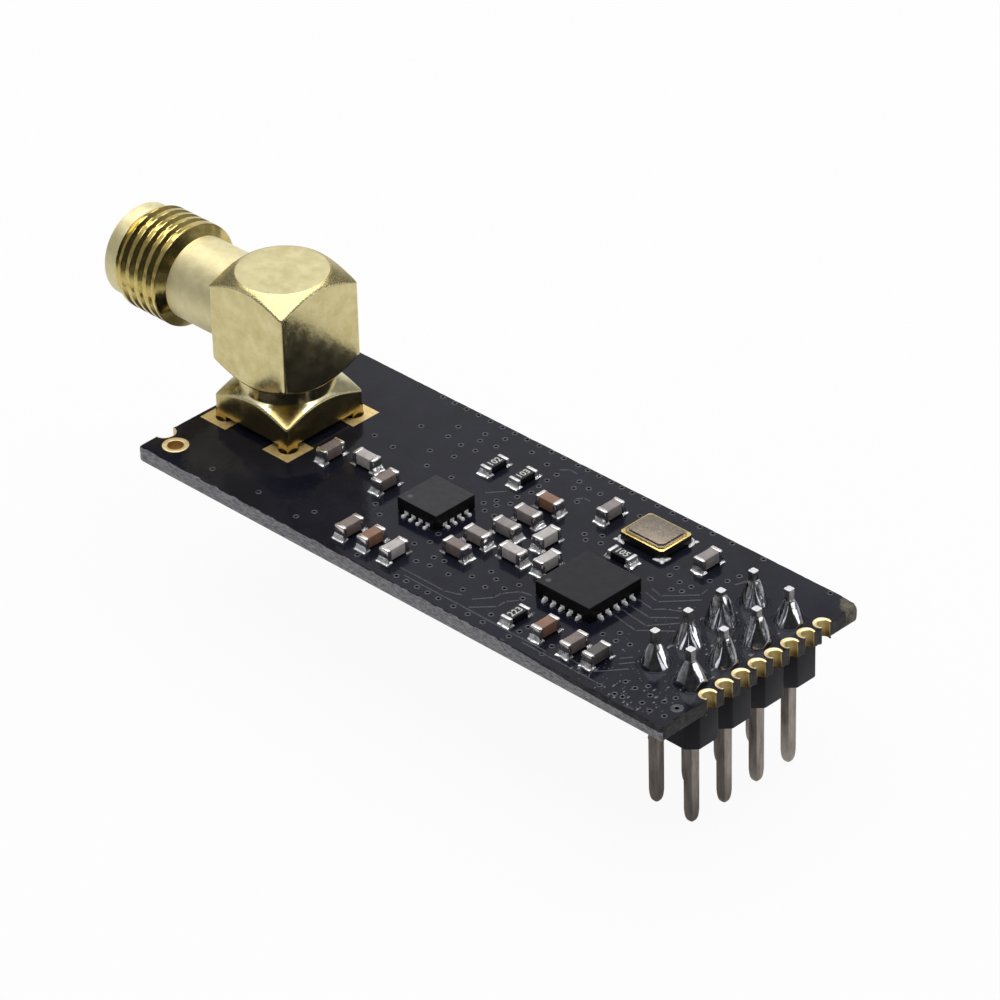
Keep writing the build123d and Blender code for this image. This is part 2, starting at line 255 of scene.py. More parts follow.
edge_turn(board_left, notch_y, notch_radius, quarter, -quarter, 0.0, 20)
edge_run((board_left, notch_y - notch_radius), (board_left, near_edge + corner), 0.3)
edge_turn(board_left + corner, near_edge + corner, corner, 2 * quarter, 3 * quarter, 0.8)

# inset and depth of a sound edge, then what wear adds to each
edge_section = [(0.20, 0.0, 0.22, 0.0), (0.05, 0.004, 0.20, 0.03), (0.015, 0.03, 0.11, 0.09),
                (0.0, 0.10, 0.03, 0.18), (0.0, 0.30, 0.0, 0.10), (0.0, 0.50, 0.0, 0.02),
                (0.0, 0.70, 0.0, 0.0), (0.01, 0.87, 0.01, 0.0), (0.07, 0.95, 0.0, 0.0), (0.12, 1.0, 0.0, 0.0)]
rubbed_corner, rubbed_reach = Vector((header_end, far_edge)), 1.5


def edge_wear(x, y, rough):
    """How far the edge is broken down here, from sound at 0."""
    torn = max(0.0, wave(x * 0.9, y * 0.9, 2.0) + 0.6 * wave(x * 3.1, y * 3.1, 5.0))
    near = 0.25 if y > near_edge + 0.4 else (1.0 if x > -2.5 else 0.40)
    rubbed = max(0.0, 1 - (Vector((x, y)) - rubbed_corner).length / rubbed_reach)
    return rough * min(1.0, torn * 1.5 * near + 1.4 * rubbed)


rows = []
for inset, depth, more_inset, more_depth in edge_section:
    row = []
    for k, (x, y, rough) in enumerate(edge):
        before, after = Vector(edge[k - 1][:2]), Vector(edge[(k + 1) % len(edge)][:2])
        ahead = (after - before).normalized()
        wear = edge_wear(x, y, rough)
        chips = 0.05 * wave(x * 4, y * 4, depth * 7) + 0.03 * wave(x * 11, y * 11, depth * 15)
        into = inset * (0.12 + 0.88 * min(1, 2 * rough)) + more_inset * wear
        if 0.02 < depth < 0.99:
            into += rough * max(0.0, chips)
        level = board_top - depth - more_depth * wear
        row.append((x - ahead.y * into, y + ahead.x * into, max(board_under, level)))
    rows.append(row)
work = bmesh.new()
grid = sheet_of(work, rows)
windows = [arc(ring_x, ring_y, ring_radius - 0.01, 0, math.tau, 40)]
for x, y in leg_places:
    windows.append([(x + sx * pad_half, y + sy * pad_half)
                    for sx, sy in ((-1, -1), (1, -1), (1, 1), (-1, 1))])
window_grids = [sheet_of(work, [lifted(window, board_top), lifted(window, board_under)])
                for window in windows]
for level in (0, -1):
    rims = [grid[level]] + [window[level] for window in window_grids]
    rim_edges = [work.edges.get(pair) for rim in rims for pair in zip(rim, rim[1:] + rim[:1])]
    bmesh.ops.triangle_fill(work, edges=rim_edges, use_beauty=True)

# Mask on the faces. The sides are cut resin, the near one bare fibre below a skin of mask that hangs over
# it and thins out toward the header, and the rubbed corner is worn to khaki.
mask = finish("black solder mask", (21, 22, 33), (29, 30, 42), (0.09, 0.17), patch=2.2, grain=0.45,
              relief=0.008, shine=0.2)
look = Shading(mask)
_, facing_y, facing_z = look.parts(look.add("NewGeometry", "Normal"))
x_place, y_place, z_place = look.parts(look.add("TexCoord", "Object"))
side = look.reckon("LESS_THAN", look.reckon("ABSOLUTE", facing_z), 0.72)
near_face = look.reckon("LESS_THAN", facing_y, -0.35)
down = look.reckon("SUBTRACT", board_top * MM, z_place)
down = look.reckon("MULTIPLY_ADD", look.grains(0.5, (0.6, 1, 1)), 0.24 * MM, down)
skin = look.ramped(x_place, -10 * MM, 1 * MM, 0.13 * MM, 0.50 * MM)
away = look.reach(x_place, y_place, (header_end, far_edge))
away = look.reckon("MULTIPLY_ADD", look.grains(0.5), 0.9 * MM, away)
rubbed = look.reckon("LESS_THAN", away, 1.55 * MM)
fibre = look.two_tone(look.grains(0.12, (0.4, 1, 1.3), 7), 0.36, 0.62, (94, 93, 98), (168, 167, 172))
resin = look.two_tone(look.grains(0.35), 0.38, 0.66, (42, 40, 44), (72, 69, 70))
khaki = look.two_tone(look.grains(0.45), 0.36, 0.64, (58, 54, 47), (118, 111, 96))
colour = look.blend(side, look.blend(rubbed, look.source("Base Color"), khaki),
                    look.blend(rubbed, resin, khaki))
bare_near = look.reckon("MULTIPLY", look.reckon("GREATER_THAN", down, skin),
                        look.reckon("MULTIPLY", side, near_face))
bare = look.reckon("MAXIMUM", bare_near, look.reckon("MAXIMUM", side, rubbed))
look.surface({"Base Color": look.blend(bare_near, colour, fibre),
              "Roughness": look.reckon("MULTIPLY_ADD", bare, 0.42, look.source("Roughness"))})
put("bare_board", work, [mask], ["circuit_board"], sharp=30)

# Tracks lie under the mask and show as low ridges. Each route is a list of places on the board.
track_width, track_height, track_overlap = 0.10, 0.014, 0.03
tracks = [
    [(-6.1, 1.10), (-5.32, 0.93), (-3.82, 2.42), (-3.88, 3.01)], [(-6.1, 0.62), (-5.08, 0.40), (-3.46, 2.10)],
    [(-6.0, -0.14), (-4.78, -0.29), (-4.20, 0.24), (-3.5, 0.6)],
    [(-6.0, -0.80), (-4.38, -0.98), (-3.2, 0.05)], [(-6.0, -1.40), (-3.98, -1.66), (-2.84, -0.31)],
    [(-6.0, -2.05), (-4.1, -2.35), (-2.5, -1.0)], [(-2.90, -4.79), (-2.48, -4.26)],
    [(-2.57, -5.18), (-2.10, -4.54)], [(-5.0, -6.6), (-3.1, -6.6), (-1.9, -5.2)],
    [(-12.50, -6.09), (-11.77, -5.20), (-11.75, -4.65), (-11.11, -3.84), (-10.4, -3.7)],
    [(-12.08, -6.77), (-11.03, -5.70), (-11.04, -5.07), (-10.62, -4.54)],
    [(-19.32, 1.81), (-18.62, 2.65)], [(-15.22, 4.70), (-14.95, 5.05), (-14.5, 5.05)],
    [(-17.91, 6.22), (-17.51, 6.60), (-16.94, 6.56)], [(-3.11, 4.37), (-2.86, 5.12), (-2.2, 5.3)],
    [(-17.5, -6.55), (-14.2, -6.55), (-13.2, -6.2)], [(-16.8, -6.95), (-6.2, -6.95)],
    [(-7.7, -7.2), (-1.6, -7.2)],
]
work = bmesh.new()
for route in tracks:
    for start, end in zip(route, route[1:]):
        ahead = (Vector(end) - Vector(start)).normalized()
        across = Vector((-ahead.y, ahead.x)) * track_width / 2
        rows = []
        for along in (Vector(start) - ahead * track_overlap, Vector(end) + ahead * track_overlap):
            rows.append([(along.x + across.x * w, along.y + across.y * w, board_top + h)
                         for w, h in ((1.25, 0), (1, track_height), (-1, track_height), (-1.25, 0))])
        sheet_of(work, rows, closed=False)
track_finish = finish("mask over tracks", (26, 27, 36), (60, 61, 72), (0.15, 0.3), patch=0.16, grain=0.1,
                      relief=0.006, shine=0.4)
put("masked_tracks", work, [track_finish], sharp=60)

# VIAS
# Small plated holes that tie the ground areas of both sides together. Mask covers them, so each is a
# black pit, painted as shade, in a faint low ring, in rows along the edges and scattered where the tracks
# change side.

scattered = [
    (-28.05, 1.79), (-26.43, 1.64), (-26.82, 4.24), (-24.66, 2.78), (-23.67, 1.57), (-24.94, 4.50),
    (-23.21, 3.25), (-25.24, 5.61), (-23.78, 4.35), (-22.77, 4.47), (-23.31, 5.38), (-23.58, 6.07),
    (-22.22, 5.56), (-22.39, 6.45), (-21.81, 1.63), (-20.34, 6.47), (-18.84, 6.15), (-17.72, 5.75),
    (-17.70, 4.97), (-17.64, 4.26), (-17.49, 3.51), (-17.76, 2.68), (-18.34, 1.65), (-18.69, 1.00),
    (-18.10, 0.48), (-17.99, 1.30), (-17.55, 1.93), (-17.35, 0.46), (-22.06, -3.67), (-23.00, -3.07),
    (-18.62, -4.41), (-18.11, -3.73), (-18.32, -2.86), (-16.88, -4.65), (-17.33, -5.55), (-16.48, -5.35),
    (-16.21, -4.52), (-15.14, -5.28), (-14.06, -4.57), (-13.53, -5.79), (-12.82, -4.81), (-13.62, -3.55),
    (-12.91, -3.88), (-11.97, -4.20), (-11.62, -3.45), (-10.57, -4.25), (-10.74, -6.46), (-8.52, -6.57),
    (-8.48, -5.97), (-6.32, -6.40), (-16.31, 6.11), (-16.07, 5.42), (-15.44, 5.93), (-14.60, 5.97),
    (-14.98, 4.53), (-11.47, 5.84), (-12.47, 2.50), (-12.02, 2.12), (-11.64, 3.04), (-11.20, 2.44),
    (-6.84, 1.73), (-6.32, 2.70), (-6.55, 3.47), (-5.48, 2.57), (-5.34, 1.76), (-4.80, 2.01), (-4.72, 2.66),
    (-4.36, 3.75), (-3.68, 4.37), (-3.50, 5.15), (-5.12, -3.77), (-4.53, -3.08), (-4.17, -3.75),
    (-3.39, -3.50), (-0.45, -6.24), (-0.07, -5.63), (0.58, -6.17), (1.50, -6.09), (1.72, -5.44),
    (1.50, -7.20), (2.38, -7.03), (-0.38, -7.25), (-0.88, -7.33), (-1.22, -6.13), (0.72, -6.94),
    (-32.20, -6.72), (-24.9, -5.9), (-25.3, -6.9), (-28.6, -6.6),
]
far_line, near_line = far_edge - 0.26, near_edge + 0.63
far_row = [(x, far_line) for x in (-17.50, -16.76, -15.89, -14.96, -14.17, -13.38, -12.48, -11.47, -10.36,
                                   -9.40, -8.32, -7.37, -5.93, -3.66, 1.15)]
far_row += [(-18.6 - 0.95 * k, far_line) for k in range(11)]
near_row = [(x, near_line) for x in (-20.11, -17.09, -16.34, -15.53, -14.73, -13.90, -12.78, -11.69, -10.58,
                                     -8.62, -6.19, -2.00)]
via_sizes = {place: (0.185, 0.12) for place in scattered + far_row + near_row}
via_sizes[(2.39, -6.08)] = (0.36, 0.16)
ring_height = 0.016
strip_reach_x, strip_reach_y = 3, 5.5


def pitted_ring(work, x, y, level, up, outer, pit):
    """One low ring with a pit, as a turned skin on the board's surface."""
    profile = [(outer, 0.0), (outer * 0.9, 0.7), ((outer + pit) / 2, 1.0), (pit * 1.15, 0.8), (pit, 0.2),
               (pit * 0.8, 0.1)]
    return sheet_of(work, [lifted(arc(x, y, radius, 0, math.tau, 20), level + up * ring_height * share)
                           for radius, share in profile])[-1]


via_finish = finish("mask over vias", (42, 43, 52), (88, 89, 100), (0.2, 0.35), patch=0.12, grain=0.05,
                    relief=0.003, shine=0.4)
# Painted shade: each pit is a flat black disc without sheen in place of the hole's shade.
via_pit_shade = finish("painted shade in via pits", (2, 2, 3), (8, 8, 10), (0.9, 1.0), patch=0.2, shine=0.0)
work = bmesh.new()
for level, up in ((board_top, 1), (board_under, -1)):
    for (x, y), (outer, pit) in via_sizes.items():
        under_strip = abs(x) < strip_reach_x and abs(y) < strip_reach_y
        if up > 0 or not under_strip:
            rim = pitted_ring(work, x, y, level, up, outer, pit)
            work.faces.new(rim).material_index = 1
put("vias", work, [via_finish, via_pit_shade], sharp=60)

# HEADER
# Two rows of square tin-plated wire pins pressed through one moulded black strip, which notches give
# its row of bevelled blocks. The strip sits under the board and the pins are hand-soldered on top.

strip_finish = finish("moulded black plastic", (24, 24, 30), (31, 31, 38), (0.42, 0.55), patch=0.9,
                      grain=0.05, relief=0.003, shine=0.25)
pin_finish = finish("tarnished tin plate", (128, 119, 112), (172, 163, 155), (0.26, 0.42), metal=1.0,
                    patch=0.35, grain=0.06, relief=0.004, stretch=(1, 1, 0.22))
dark_bulge = finish("dark beads by the pins", (16, 16, 18), (26, 26, 30), (0.4, 0.6), patch=0.2, shine=0.3)


def rounded_copy(node, radius, steps=2, angle=28):
    """Mesh work with a CAD node's shape and softened edges."""
    work = bmesh.new()
    work.from_mesh(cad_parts[node].data)
    bmesh.ops.remove_doubles(work, verts=work.verts, dist=1e-7)
    bmesh.ops.dissolve_limit(work, angle_limit=math.radians(1), verts=work.verts, edges=work.edges)
    edges = [e for e in work.edges if len(e.link_faces) == 2 and e.calc_face_angle() > math.radians(angle)]
    bmesh.ops.bevel(work, geom=edges, offset=radius * MM, segments=steps, profile=0.5, affect="EDGES",
                    clamp_overlap=True)
    return work


put("strip", rounded_copy("header_strip", 0.06), [strip_finish], ["header_strip"])

pin_foot, pin_head = (corner[2] for corner in corners("header_pins"))
pin_pitch = 2.54
# Pins are named by row, 0 on the jack's side and 1 at the board's end, and by number from the near edge.
pin_places = {(row, k): ((row - 0.5) * pin_pitch, (k - 1.5) * pin_pitch) for row in (0, 1) for k in range(4)}
pin_shortness = {(1, 0): 0.15, (0, 0): 0.20, (1, 1): 0.05, (1, 2): 0.08}


def pin_outline(half, corner):
    """Square with round corners, as sixteen points."""
    points = []
    for side in range(4):
        turn = quarter * side
        middle = Vector((half - corner, half - corner))
        for k in range(4):
            a = quarter * k / 3
            point = middle + Vector((math.cos(a), math.sin(a))) * corner
            points.append((point.x * math.cos(turn) - point.y * math.sin(turn),
                           point.x * math.sin(turn) + point.y * math.cos(turn)))
    return points


work = bmesh.new()
for pin, (x, y) in pin_places.items():
    foot = pin_foot + pin_shortness.get(pin, 0.0)
    stations = [(foot, 0.12, 0.10), (foot + 0.03, 0.18, 0.13), (foot + 0.10, 0.235, 0.14),
                (foot + 0.24, 0.275, 0.12), (foot + 0.45, 0.30, 0.10), (foot + 0.75, 0.315, 0.08),
                (-2.6, 0.315, 0.07), (0.2, 0.315, 0.06), (board_top, 0.315, 0.06),
                (board_top + 0.9, 0.29, 0.06)]
    grid = sheet_of(work, [[(x + px, y + py, z) for px, py in pin_outline(half, corner)]
                           for z, half, corner in stations])
    work.faces.new(grid[0])
    work.faces.new(grid[-1])
put("pins", work, [pin_finish], ["header_pins"], sharp=50)

# Solder of the header: hand-fed, so every cone differs. It rises hollow from a round foot, wets the whole
# square pin to its clipped end, which shows as a flat white square. A mask opening rings each foot.

solder_finish = finish("bright solder", (152, 153, 159), (206, 207, 212), (0.06, 0.14), metal=1.0, patch=0.25,
                       grain=0.25, relief=0.004)
clipped = finish("clipped pin ends", (214, 214, 218), (238, 238, 240), (0.35, 0.5), metal=0.6, patch=0.1,
                 grain=0.05, relief=0.006)
dull_solder = finish("dull solder", (110, 107, 108), (190, 188, 190), (0.28, 0.45), metal=1.0, patch=0.12,
                     grain=0.10, relief=0.012)
cone_forms = {                  # by pin: foot radius, height and fullness of the cone
    (0, 0): (0.88, 1.25, 0.80), (0, 1): (0.86, 1.35, 0.90), (0, 2): (0.92, 1.75, 0.62),
    (0, 3): (0.80, 1.50, 0.80), (1, 0): (1.00, 1.35, 0.95), (1, 1): (0.86, 1.60, 0.80),
    (1, 2): (0.88, 1.65, 0.75), (1, 3): (0.84, 1.35, 0.85),
}
neck_half, neck_flare = 0.275, 0.035            # seen across a corner of the pin
cone_levels = 30
opening_ring = [(0.985, 0.0), (0.97, 0.022), (0.93, 0.028), (0.90, 0.015), (0.885, 0.0)]
opening_foot = 0.8              # the cone's foot that the ring's radii go with


def held_in(point, low, high):
    """A point kept inside a box in plan."""
    x, y, z = point
    return (min(max(x, low[0]), high[0]), min(max(y, low[1]), high[1]), z)


joints_box = corners("header_joints")
work = bmesh.new()
ring_work = bmesh.new()
head_rise = pin_head - board_top
for number, (pin, (x, y)) in enumerate(pin_places.items()):
    foot, cone_height, fullness = cone_forms[pin]
    rows = []
    for i in range(cone_levels + 1):
        z = head_rise * (i / cone_levels) ** 1.2
        share = max(0.0, 1 - z / cone_height)
        seen = neck_half + neck_flare * (1 - z / head_rise)
        seen += (foot - neck_half - neck_flare) * share ** fullness
        power = 2 + 3.5 * (1 - share) ** 2
        reach = seen / 2 ** (0.5 - 1 / power)
        ring = []
        for a in turns(64):
            square = (abs(math.cos(a)) ** power + abs(math.sin(a)) ** power) ** (-1 / power)
            ripple = wave(math.cos(a) * 1.6 + number * 5, math.sin(a) * 1.6, z * 0.8)
            streak = wave(math.cos(a) * 4 + number * 3, math.sin(a) * 4, z * 0.5)
            r = reach * square * (1 + (0.035 * ripple + 0.07 * streak * share) * (1 - share))
            ring.append(held_in((x + r * math.cos(a), y + r * math.sin(a), board_top + z), *joints_box))
        rows.append(ring)
    grid = sheet_of(work, rows)
    work.faces.new(grid[-1]).material_index = 1
    for face in {f for row in grid[:-1] for v in row for f in v.link_faces}:
        middle = face.calc_center_median() / MM
        frayed = 0.5 * wave(middle.x * 4, middle.y * 4, number)
        if middle.z > board_top + cone_height + frayed and len(face.verts) == 4:
            face.material_index = 2
    sheet_of(ring_work, [lifted(arc(x, y, radius + foot - opening_foot, 0, math.tau, 56), board_top + lift)
                         for radius, lift in opening_ring])
put("pin_solder", work, [solder_finish, clipped, dull_solder], ["header_joints"], sharp=50)
put("mask_openings", ring_work, [mask], sharp=80)

# Flux from the hand soldering dried in small glossy drops and splashes round the header.

flux = finish("dried flux", (36, 36, 44), (72, 72, 82), (0.05, 0.12), patch=0.2, shine=0.9)
work = bmesh.new()
for number in range(200):
    spread = [abs(noise.cell(Vector((number * 1.7, k * 9.3, 4.1)))) for k in range(4)]
    x, y = -4.2 + 6.2 * spread[0] ** 0.7, -7.6 + 10.5 * spread[1] ** 1.6
    size = 0.03 + 0.09 * spread[2] ** 4
    rows = []
    for level in (0.0, 0.5, 0.85):
        flat = size * math.sqrt(1 - level * level)
        rows.append([(x + flat * math.cos(a) * (1 + 0.5 * wave(number, math.cos(a), math.sin(a))),
                      y + flat * math.sin(a) * (1 + spread[3]), board_top + size * 0.35 * level)
                     for a in turns(10)])
    work.faces.new(sheet_of(work, rows)[-1])
put("flux_drops", work, [flux], sharp=80)

# Small dark beads sit against the inner row of pins, a little below the strip.

bead_radius, bead_aside, bead_level, bead_step = 0.16, (-0.34, -0.06), -1.55, 0.35
work = bmesh.new()
for k in range(4):
    x, y = pin_places[(0, k)]
    spot = Vector((x + bead_aside[0], y + bead_aside[1], bead_level - bead_step * (k % 2)))
    bmesh.ops.create_uvsphere(work, u_segments=12, v_segments=8, radius=bead_radius * MM,
                              matrix=Matrix.Translation(spot * MM))
put("dark_pin_beads", work, [dark_bulge])

# HALF HOLES, TEST HOLE AND JACK PADS
# The copper left bare of mask is gold plated: eight half holes cut through along the header end, the
# ring and the notch at the other end, and the square pads that the jack's legs are soldered to.

gold = finish("gold plated copper", (236, 212, 158), (250, 232, 184), (0.34, 0.46), metal=1.0, patch=0.3,
              grain=0.10, relief=0.006)
hole_gold = finish("gold inside the holes", (214, 192, 130), (236, 218, 158), (0.45, 0.60), metal=0.7,
                   patch=0.2)
# Painted shade: the gold in the holes darkens with depth.
look = Shading(hole_gold)
_, _, z_place = look.parts(look.add("TexCoord", "Object"))
painted_depth_shade = look.ramped(z_place, (board_top - 0.85) * MM, (board_top - 0.35) * MM, 1.0, 0.0)
look.surface({"Base Color": look.blend(painted_depth_shade, look.source("Base Color"), shade(140, 114, 68))})
pad_radius, pad_inset, wall, bore_steps = 0.52, 0.27, 0.05, 30
lip_rise, under_rise, lip_sink, cut_width = 0.03, 0.02, 0.06, 0.03
pad_x = header_end - pad_inset
inner = hole_radius - wall
open_angle = math.acos(hole_inset / inner)
pad_open = math.acos(pad_inset / pad_radius)


def between(first, second, share):
    """Points part of the way from one run of points to another."""
    return [((1 - share) * px + share * qx, (1 - share) * py + share * qy)
            for (px, py), (qx, qy) in zip(first, second)]


work = bmesh.new()
for y in half_rows:
    bore, rim = [], []
    for i in range(bore_steps + 1):
        a = open_angle + (math.tau - 2 * open_angle) * i / bore_steps
        p = pad_open + (math.tau - 2 * pad_open) * i / bore_steps
        bore.append((hole_x + inner * math.cos(a), y + inner * math.sin(a)))
        rim.append((pad_x + pad_radius * math.cos(p), y + pad_radius * math.sin(p)))
    for level, lift, sink in ((board_top, lip_rise, lip_sink), (board_under, -under_rise, -lip_sink)):
        sheet_of(work, [lifted(rim, level), lifted(between(rim, bore, 0.05), level + lift),
                        lifted(between(rim, bore, 0.88), level + lift), lifted(bore, level + lift * 0.3),
                        lifted(bore, level - sink)], closed=False)
    sheet_of(work, [lifted(bore, board_top - lip_sink), lifted(bore, board_under + lip_sink)], closed=False)
    cut_y = bore[0][1]
    sheet_of(work, [[(header_end, cut_y + out, level) for level in (board_top - 0.03, board_under + 0.1)]
                    for out in (0, cut_width)], closed=False)
for face in work.faces:
    face.material_index = 1 if face.calc_center_median().z / MM < board_top - 0.05 else 0
put("half_holes", work, [gold, hole_gold], ["edge_half_holes"], sharp=50)
dress("edge_notch_lining", gold)
pad_gold = finish("gold on the leg pads", (232, 198, 128), (250, 226, 166), (0.38, 0.50), metal=0.6,
                  patch=0.3, grain=0.10, relief=0.006)
dress("jack_leg_pads", pad_gold)
work = rounded_copy("test_hole_ring", 0.01)
for face in work.faces:
    centre = face.calc_center_median() / MM
    from_middle = math.hypot(centre.x - ring_x, centre.y - ring_y)
    face.material_index = 1 if from_middle < ring_hole + 0.01 and abs(face.normal.z) < 0.5 else 0
bore_gold = finish("gold in the test hole", (186, 140, 78), (214, 172, 106), (0.45, 0.60), metal=0.5,
                   patch=0.2)
put("test_hole", work, [gold, bore_gold], ["test_hole_ring"])

# TWO-ENDED CHIPS
# Capacitors are stacked ceramic, fired in greys and browns by their mix, and resistors are black glaze on
# white ceramic. Each end is dipped in silver and tinned, and reflowed solder climbs it from its pad.

end_finish = finish("tinned ends", (222, 216, 214), (246, 242, 241), (0.12, 0.22), metal=0.95, patch=0.3,
                    grain=0.25, relief=0.008)
white_end = finish("bright tinned ends", (222, 221, 222), (240, 240, 240), (0.30, 0.42), metal=0.8, patch=0.3,
                   grain=0.10, relief=0.008)
ceramics = {}
for name, dark, light in (("grey-brown", (122, 108, 104), (144, 129, 123)),
                          ("grey", (138, 130, 129), (162, 154, 151)),
                          ("pale", (184, 179, 177), (210, 205, 202)),
                          ("brown", (134, 98, 78), (156, 117, 95))):
    ceramics[name] = finish(name + " ceramic", dark, light, (0.45, 0.6), patch=0.4)
ceramics["dark"] = finish("dark ceramic", (84, 79, 77), (102, 96, 93), (0.4, 0.55), patch=0.4)
capacitor_colours = {
    "input_filter_capacitor": "grey-brown", "harmonic_filter_capacitor": "pale",
    "output_match_capacitor": "grey-brown", "amplifier_supply_capacitor_1": "grey-brown",
    "amplifier_supply_capacitor_2": "brown", "amplifier_supply_capacitor_3": "pale",
    "switch_bias_capacitor_1": "brown", "switch_bias_capacitor_2": "grey", "switch_bias_capacitor_3": "grey",
    "receive_path_capacitor_1": "grey", "receive_path_capacitor_2": "grey-brown",
    "balun_capacitor_1": "pale", "balun_capacitor_2": "pale", "antenna_pin_capacitor": "pale",
    "crystal_load_capacitor_1": "grey", "crystal_load_capacitor_2": "grey",
    "radio_supply_capacitor_1": "brown", "radio_supply_capacitor_2": "grey-brown",
    "radio_supply_capacitor_3": "dark",
}
# Value codes are three plain digits.
resistor_codes = {"gain_set_resistor": "102", "enable_pull_resistor": "103", "bias_resistor": "223",
                  "crystal_resistor": "105"}
glaze = finish("black glaze", (24, 24, 28), (36, 36, 40), (0.22, 0.35), patch=0.4, shine=0.3)
chip_reach, end_length, side_step, foot_step = 0.80, 0.34, 0.03, 0.02
pad_level = 0.035               # height of the solder at the rim of its pad


def block(work, middle, way, near, far, half_width, foot, top, radius, long_edges_only=False):
    """Soft-edged block that lies along a direction, from near to far."""
    size = Vector((far - near, half_width * 2, top - foot))
    turn = Matrix((way, Vector((-way.y, way.x, 0)), Vector((0, 0, 1)))).transposed().to_4x4()
    centre = Vector((middle.x, middle.y, 0)) + way * (near + far) / 2 + Vector((0, 0, (foot + top) / 2))
    scale = Matrix.Diagonal((*(size * MM), 1))
    made = bmesh.ops.create_cube(work, size=1, matrix=Matrix.Translation(centre * MM) @ turn @ scale)
    edges = list({e for v in made["verts"] for e in v.link_edges})
    if long_edges_only:
        edges = [e for e in edges if abs((e.verts[0].co - e.verts[1].co).normalized().dot(way)) > 0.9]
    made = bmesh.ops.bevel(work, geom=edges, offset=radius * MM, segments=3, profile=0.5, affect="EDGES",
                           clamp_overlap=True)
    return {f for v in made["verts"] for f in v.link_faces}


def solder_skirt(work, middle, way, half_width, rise, toe, flank, seed):
    """Reflowed solder round one end: hollow flanks falling from the end to the outline of its pad."""
    side = Vector((-way.y, way.x, 0))
    back = end_length * 0.8     # how far the solder reaches back along the chip's sides
    # along and across the chip, direction outward, and strength
    stations = [(chip_reach - back * (1 - k / 4), half_width, 0.0, 1.0, 0.35 + 0.65 * k / 4)
                for k in range(5)]
    stations += [(chip_reach, half_width, math.cos(a), math.sin(a), 1.0)
                 for a in (quarter * (1 - k / 7) for k in range(1, 7))]
    stations += [(chip_reach, half_width * (1 - k / 4), 1.0, 0.0, 1.0) for k in range(9)]
    stations += [(chip_reach, -half_width, math.cos(a), -math.sin(a), 1.0)
                 for a in (quarter * k / 7 for k in range(1, 7))]
    stations += [(chip_reach - back * k / 4, -half_width, 0.0, -1.0, 1.0 - 0.65 * k / 4) for k in range(5)]
    rows = []
    for along, across, out_along, out_across, strength in stations:
        limits = [limit / abs(part) for limit, part in ((toe, out_along), (flank, out_across))
                  if abs(part) > 0.01]
        wander = wave(across * 2.5 + seed * 3.1, out_across * 1.5, seed)
        reach = min(limits) * (0.82 + 0.30 * wander)
        height = rise * (0.55 + 0.45 * abs(out_along)) * strength * (1 + 0.30 * wander)
        row = []
        for q in (0.0, 0.06, 0.14, 0.25, 0.4, 0.58, 0.78, 0.93, 1.0):
            z = height * (1 - q) ** 3.0 + pad_level * (1 - q ** 6)
            lump = 0.02 * wave(along * 6 + seed, across * 6, q * 5) * (1 - q)
            point = Vector((middle.x, middle.y, 0)) + way * (along + out_along * reach * q)
            point += side * (across + out_across * reach * q)
            row.append((point.x, point.y, board_top + max(0.0, z + lump)))
        rows.append(row)
    sheet_of(work, rows, closed=False)


def two_ended_chip(node, seed, work_for_all, colour, index, band, end_soft, drop, soft, climb, toe,
                   flank):
    """Puts one chip's body on the board, and its ends and solder into the work for all of them.

    Band is the length of a tinned end, and drop is how far the body lies below its top. Solder climbs that
    share of the end, and spreads by toe outward and by flank to the sides.
    """
    caps, skirts = work_for_all
    low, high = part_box(node)
    middle, size = (low + high) / 2 / MM, (high - low) / MM
    along = Vector((0, 1, 0)) if size.y > size.x else Vector((1, 0, 0))
    half_width, foot, top = min(size.x, size.y) / 2, low.z / MM, high.z / MM
    core = (half_width - side_step, foot + foot_step, top - drop)
    for way, shift in ((along, 0.5), (-along, 0)):
        block(caps, middle, way, chip_reach - band, chip_reach, half_width, foot, top, end_soft)
        overlap = block(caps, middle, way, chip_reach - end_length, chip_reach - band, *core, 0.02,
                        long_edges_only=True)
        for face in overlap:
            face.material_index = index
        solder_skirt(skirts, middle, way, half_width, (top - foot) * climb, toe, flank, seed + shift)
    work = bmesh.new()
    core_end = chip_reach - end_length
    block(work, middle, way, -core_end, core_end, *core, soft, long_edges_only=True)
    put(node + "_body", work, [colour], [node])
    return middle, way, top


reflowed = finish("reflowed solder", (228, 228, 231), (250, 250, 251), (0.10, 0.20), metal=0.85, patch=0.2,
                  grain=0.28, relief=0.030)
caps, skirts = bmesh.new(), bmesh.new()
for number, (node, colour) in enumerate(capacitor_colours.items()):
    index = 1 + list(ceramics).index(colour)
    two_ended_chip(node, number, (caps, skirts), ceramics[colour], index, band=0.29,
                   end_soft=0.075, drop=0.03, soft=0.05, climb=0.36, toe=0.26, flank=0.08)
put("capacitor_end_caps", caps, [end_finish, *ceramics.values()], ["capacitor_ends"])
put("capacitor_solder", skirts, [reflowed], ["capacitor_joints"], sharp=60)

caps, skirts, codes = bmesh.new(), bmesh.new(), bmesh.new()
for number, (node, code) in enumerate(resistor_codes.items(), 40):
    middle, way, top = two_ended_chip(node, number, (caps, skirts), glaze, 1, band=0.24,
                                      end_soft=0.05, drop=0.015, soft=0.02, climb=0.6, toe=0.29, flank=0.09)
    letters = bpy.data.curves.new(node + "_code", "FONT")
    letters.body, letters.size, letters.align_x, letters.align_y = code, 0.62 * MM, "CENTER", "CENTER"
    letters.resolution_u, letters.offset = 3, 0.010 * MM
    holder = bpy.data.objects.new(letters.name, letters)
    printed = bpy.data.meshes.new_from_object(holder)
    spin = Matrix.Rotation(math.atan2(abs(way.y), abs(way.x)), 4, "Z")
    printed.transform(Matrix.Translation(Vector((middle.x, middle.y, top - 0.012)) * MM) @ spin)
    codes.from_mesh(printed)
    bpy.data.objects.remove(holder)
    bpy.data.curves.remove(letters)
    bpy.data.meshes.remove(printed)
